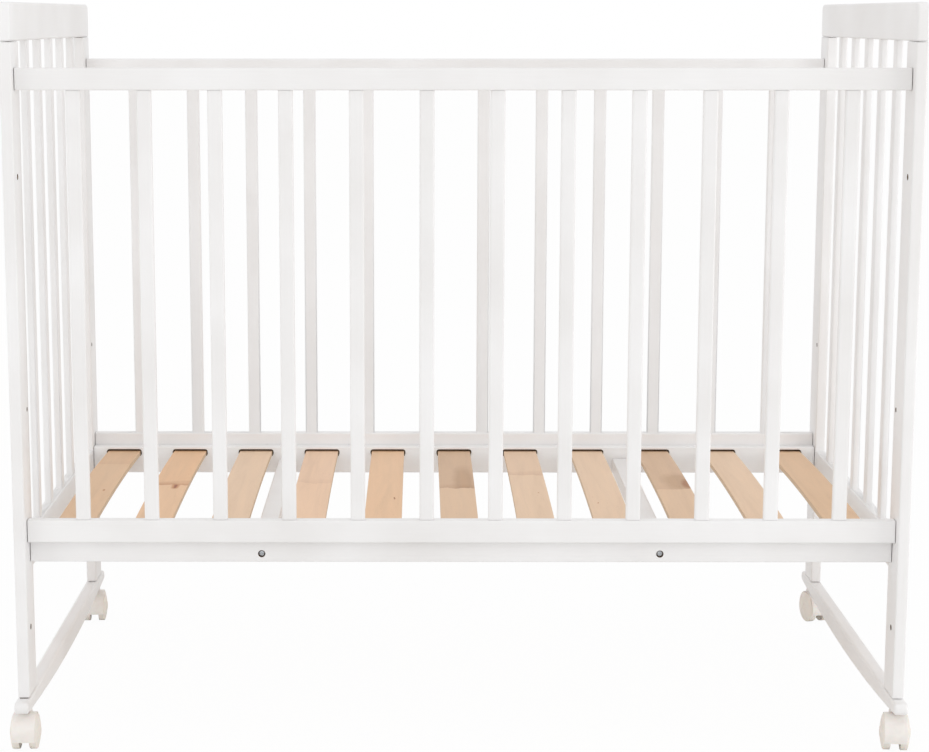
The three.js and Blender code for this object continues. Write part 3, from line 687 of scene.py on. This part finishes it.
# Lock pins: four turned steel pins in the ends of the front side's rails. They hold the front side
# at either height, and are drawn back into the rails to let it slide.
pin_radius, pin_length, pin_taper, pin_edge = 0.004, 0.030, 0.0012, 0.0004
pin = turned("lock_pin", [
    (0, 0),
    (0, pin_radius - pin_taper - pin_edge),
    (pin_edge * 0.3, pin_radius - pin_taper - pin_edge * 0.2),
    (pin_taper, pin_radius),
    (pin_length - pin_edge, pin_radius),
    (pin_length, pin_radius - pin_edge),
    (pin_length, 0),
], steps=48)
for side, facing in (("left", -1), ("right", 1)):
    inward = Matrix.Rotation(pi if facing > 0 else 0, 4, "Z")
    for level in ("upper", "lower"):
        low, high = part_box(f"{level}_{side}_lock_pin")
        tip = (low.x if facing < 0 else high.x, (low.y + high.y) / 2, (low.z + high.z) / 2)
        seat = Matrix.Translation(tip)
        piece = copied(pin, f"{level}_{side}_lock_pin_turned", seat @ inward)
        piece.data.materials.append(zinc)
        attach(piece, f"{level}_{side}_pin")
        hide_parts(f"{level}_{side}_lock_pin")
bpy.data.objects.remove(pin)


# Casters: twin-wheel furniture casters of moulded nylon. A hood and the web between the wheels are
# one moulding, on a steel stem pressed up through the rocker into the post, and the wheels run on a
# steel axle.
def moulded_nylon(name, deep, pale, roughness):
    """Injection-moulded nylon: an even off-white with a dull sheen, a fine spark-eroded grain, the
    faintest cloudy flow marks and scuffs from handling. The grain is drawn coarser than a mould's,
    which is too fine to show."""
    material = empty_material(name)
    tree = material.node_tree
    grain_size, flow_size, scuff_length, scuff_width = 0.35, 14, 6, 0.5
    place = add_node(tree, "ShaderNodeTexCoord").outputs["Object"]
    grain = add_node(tree, "ShaderNodeTexNoise", {"Scale": 1000 / grain_size, "Detail": 2},
                     {"Vector": place})
    flow = add_node(tree, "ShaderNodeTexNoise",
                    {"Scale": 1000 / flow_size, "Detail": 2, "Distortion": 0.8},
                    {"Vector": place})
    drawn = add_node(tree, "ShaderNodeMapping",
                     {"Scale": (1000 / scuff_width, 1000 / scuff_length, 1000 / scuff_width)},
                     {"Vector": place})
    scuff = add_node(tree, "ShaderNodeTexNoise", {"Scale": 1, "Detail": 2},
                     {"Vector": drawn.outputs[0]})
    tone = add_node(tree, "ShaderNodeValToRGB", None, {"Fac": flow.outputs["Fac"]})
    for stop, at, colour in zip(tone.color_ramp.elements, (0.3, 0.7), (deep, pale)):
        stop.position, stop.color = at, linear(colour)
    shine = add_node(tree, "ShaderNodeMapRange",
                     {"From Min": 0.45, "From Max": 0.7,
                      "To Min": roughness, "To Max": roughness + 0.12},
                     {"Value": scuff.outputs["Fac"]})
    relief = add_node(tree, "ShaderNodeBump", {"Strength": 0.2, "Distance": 0.00004},
                      {"Height": grain.outputs["Fac"]})
    plastic = add_node(tree, "ShaderNodeBsdfPrincipled",
                       {"IOR": 1.53, "Subsurface Weight": 0.08, "Subsurface Scale": 0.002},
                       {"Base Color": tone.outputs[0], "Roughness": shine.outputs[0],
                        "Normal": relief.outputs[0]})
    add_node(tree, "ShaderNodeOutputMaterial", None, {"Surface": plastic.outputs[0]})
    return material


def dished(x, radius, curve, start, end, steps):
    """Points of a profile along an arc, for a rounded or domed part of it."""
    angles = [start + (end - start) * step / steps for step in range(steps + 1)]
    return [(x + curve * cos(angle), radius + curve * sin(angle)) for angle in angles]


hood_nylon = moulded_nylon("off_white_moulded_nylon_hood", "#EEE9E4", "#F4EFEA", 0.36)
wheel_nylon = moulded_nylon("ivory_moulded_nylon_wheel", "#ECE5DC", "#F1EBE3", 0.42)

# The hood's strip is bent round the wheels. The web and the neck end inside its thickness.
wheel_radius, swivel_offset = 0.025, 0.015
hood_width, hood_wall, hood_clearance, hood_low = 0.032, 0.0014, 0.0005, 0.0155
hood_edge, hood_easing, hood_crease = 0.00055, 0.0004, radians(50)
web_width, web_rise = 0.013, 0.0004
hood_inner = wheel_radius + hood_clearance
hood_outer = hood_inner + hood_wall
hood_middle = (hood_inner + hood_outer) / 2
hood_start, hood_end = -asin((wheel_radius - hood_low) / hood_outer), radians(160)
axle_place = (0, -swivel_offset, wheel_radius)
strip_place = (0, -swivel_offset - hood_middle * cos(hood_start),
               wheel_radius + hood_middle * sin(hood_start))
bpy.ops.object.select_all(action="DESELECT")
bpy.ops.mesh.primitive_plane_add(size=1, rotation=(-hood_start, 0, 0), location=strip_place)
hood = bpy.context.object
bpy.ops.transform.resize(value=(hood_width, hood_wall, hood_wall), orient_type="LOCAL")
bpy.ops.object.transform_apply(location=True, rotation=True, scale=True)
in_edit(hood)
bpy.ops.mesh.bevel(offset=hood_edge, segments=4, affect="VERTICES")
bpy.ops.mesh.select_all(action="SELECT")
bpy.ops.mesh.spin(steps=72, angle=hood_end - hood_start, center=axle_place, axis=(1, 0, 0))
bpy.ops.mesh.select_all(action="SELECT")
bpy.ops.mesh.normals_make_consistent(inside=False)
bpy.ops.object.mode_set(mode="OBJECT")

bpy.ops.object.select_all(action="DESELECT")
bpy.ops.mesh.primitive_cylinder_add(
    vertices=96, radius=hood_inner + hood_wall / 3, depth=web_width,
    location=axle_place, rotation=(0, pi / 2, 0))
web = bpy.context.object
bpy.ops.object.transform_apply(location=True, rotation=True, scale=True)
in_edit(web)
bpy.ops.mesh.bisect(plane_co=(0, 0, hood_low + web_rise), plane_no=(0, 0, 1),
                    use_fill=True, clear_inner=True)
bpy.ops.object.mode_set(mode="OBJECT")
carved(hood, web, "UNION")

neck_top, neck_foot, neck_wide, neck_narrow = 0.0529, 0.0389, 0.011, 0.0075
bpy.ops.object.select_all(action="DESELECT")
bpy.ops.mesh.primitive_cone_add(
    vertices=64, radius1=neck_wide, radius2=neck_narrow, depth=neck_top - neck_foot,
    location=(0, 0, (neck_top + neck_foot) / 2))
neck = bpy.context.object
bpy.ops.object.transform_apply(location=True, rotation=True, scale=True)
bpy.ops.object.select_all(action="DESELECT")
bpy.ops.mesh.primitive_cylinder_add(
    vertices=96, radius=hood_inner + hood_wall / 4, depth=2 * hood_width,
    location=axle_place, rotation=(0, pi / 2, 0))
carved(neck, bpy.context.object)
carved(hood, neck, "UNION")
bpy.ops.object.modifier_add(type="BEVEL")
hood.modifiers[-1].width = hood_easing
hood.modifiers[-1].segments = 2
hood.modifiers[-1].limit_method = "ANGLE"
hood.modifiers[-1].angle_limit = hood_crease
bpy.ops.object.modifier_apply(modifier=hood.modifiers[-1].name)
bpy.ops.object.shade_smooth_by_angle(angle=turned_crease)

# A wheel is flat and slightly hollow inside, and domed outside, with a groove and a hub.
wheel_spacing, tread_width, wheel_rolling, wheel_edge = 0.014, 0.0085, 0.002, 0.001
dome_height, hub_radius, hub_height, groove = 0.0034, 0.007, 0.0006, 0.0003
hollow, hollow_land, hollow_at_hub, hollow_at_rim = 0.0010, 0.0012, 0.0020, 0.0024
dimple_rim, dimple_radius = 0.0022, 0.0018
axle_radius, axle_length, axle_play, axle_edge = 0.003, 0.033, 0.0003, 0.0004
shoulder, bore = wheel_radius - wheel_rolling, axle_radius + axle_play
bore_end = (axle_length - wheel_spacing) / 2 + axle_play
dome_start = tread_width + wheel_rolling
dome_radius = (shoulder ** 2 + dome_height ** 2) / (2 * dome_height)
dome_centre = dome_start + dome_height - dome_radius
dome = dished(dome_centre, 0, dome_radius,
              asin(shoulder / dome_radius), asin(hub_radius / dome_radius), steps=16)
dome_top = dome[-1][0]
groove_x, groove_radius = dome[2]
wheel = turned("caster_wheel", [
    (bore_end, 0),
    (bore_end, bore),
    (0, bore),
    (0, hub_radius + hollow_land),
    (hollow, hub_radius + hollow_at_hub),
    (hollow, shoulder - hollow_at_rim),
    (0, shoulder - hollow_land),
    *dished(wheel_edge, wheel_radius - wheel_edge, wheel_edge, pi, pi / 2, steps=5),
    *dished(tread_width, shoulder, wheel_rolling, pi / 2, 0, steps=8),
    *dome[1:3],
    (groove_x - groove, groove_radius - groove),
    (groove_x - groove, groove_radius - 2.5 * groove),
    *[point for point in dome[3:] if point[1] < groove_radius - 3.5 * groove],
    (dome_top + hub_height * 0.7, hub_radius - hub_height * 0.2),
    (dome_top + hub_height, hub_radius - hub_height),
    (dome_top + hub_height, dimple_rim),
    (dome_top + hub_height - groove, dimple_radius),
    (dome_top + hub_height - groove, 0),
], steps=96)

# The stem has a groove for a snap ring. Its start, floor and end are measured down from the top.
stem_radius, stem_top, stem_root = 0.004, 0.0855, 0.001
stem_edge, stem_groove = 0.0008, 0.0006
groove_start, floor_start, floor_end, groove_end = 0.0060, 0.0052, 0.0036, 0.0028
stem = turned("caster_stem", [
    (neck_top - stem_root, 0),
    (neck_top - stem_root, stem_radius),
    (stem_top - groove_start, stem_radius),
    (stem_top - floor_start, stem_radius - stem_groove),
    (stem_top - floor_end, stem_radius - stem_groove),
    (stem_top - groove_end, stem_radius),
    (stem_top - stem_edge, stem_radius),
    (stem_top, stem_radius - stem_edge),
    (stem_top, 0),
], steps=48)
stem.data.transform(Matrix.Rotation(-pi / 2, 4, "Y"))
axle = turned("caster_axle", [
    (-axle_length / 2, 0),
    (-axle_length / 2, axle_radius - axle_edge),
    (-axle_length / 2 + axle_edge, axle_radius),
    (axle_length / 2 - axle_edge, axle_radius),
    (axle_length / 2, axle_radius - axle_edge),
    (axle_length / 2, 0),
], steps=48)

# Each caster stands turned on its stem by some degrees, as in the photograph.
caster_turns = {"front_left": 2, "front_right": -8, "back_left": 4, "back_right": 15}
swivel_inset = 0.018
post_low, post_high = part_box("right_front_post")
swivel_x = (post_low.x + post_high.x) / 2
swivel_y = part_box("right_back_post")[1].y - swivel_inset
at_axle = Matrix.Translation(axle_place)
for name, degrees in caster_turns.items():
    side = -1 if name.endswith("left") else 1
    end = -1 if name.startswith("front") else 1
    under_post = Matrix.Translation((side * swivel_x, end * swivel_y, 0))
    place = under_post @ Matrix.Rotation(radians(degrees), 4, "Z")
    hood_piece = copied(hood, f"{name}_caster_hood_moulding", place)
    hood_piece.data.materials.append(hood_nylon)
    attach(hood_piece, f"{name}_caster")
    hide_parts(f"{name}_caster_hood")
    for part, shape, seat in (("stem", stem, place), ("axle", axle, place @ at_axle)):
        steel_piece = copied(shape, f"{name}_caster_steel_{part}", seat)
        steel_piece.data.materials.append(zinc)
        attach(steel_piece, f"{name}_caster")
    for wheel_side, facing in (("left", pi), ("right", 0)):
        outward = Matrix.Rotation(facing, 4, "Z") @ Matrix.Translation((wheel_spacing / 2, 0, 0))
        seat = place @ at_axle @ outward
        wheel_piece = copied(wheel, f"{name}_caster_{wheel_side}_wheel_moulding", seat)
        wheel_piece.data.materials.append(wheel_nylon)
        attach(wheel_piece, f"{name}_{wheel_side}_wheel")
        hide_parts(f"{name}_caster_{wheel_side}_wheel")
for shape in (hood, wheel, stem, axle):
    bpy.data.objects.remove(shape)
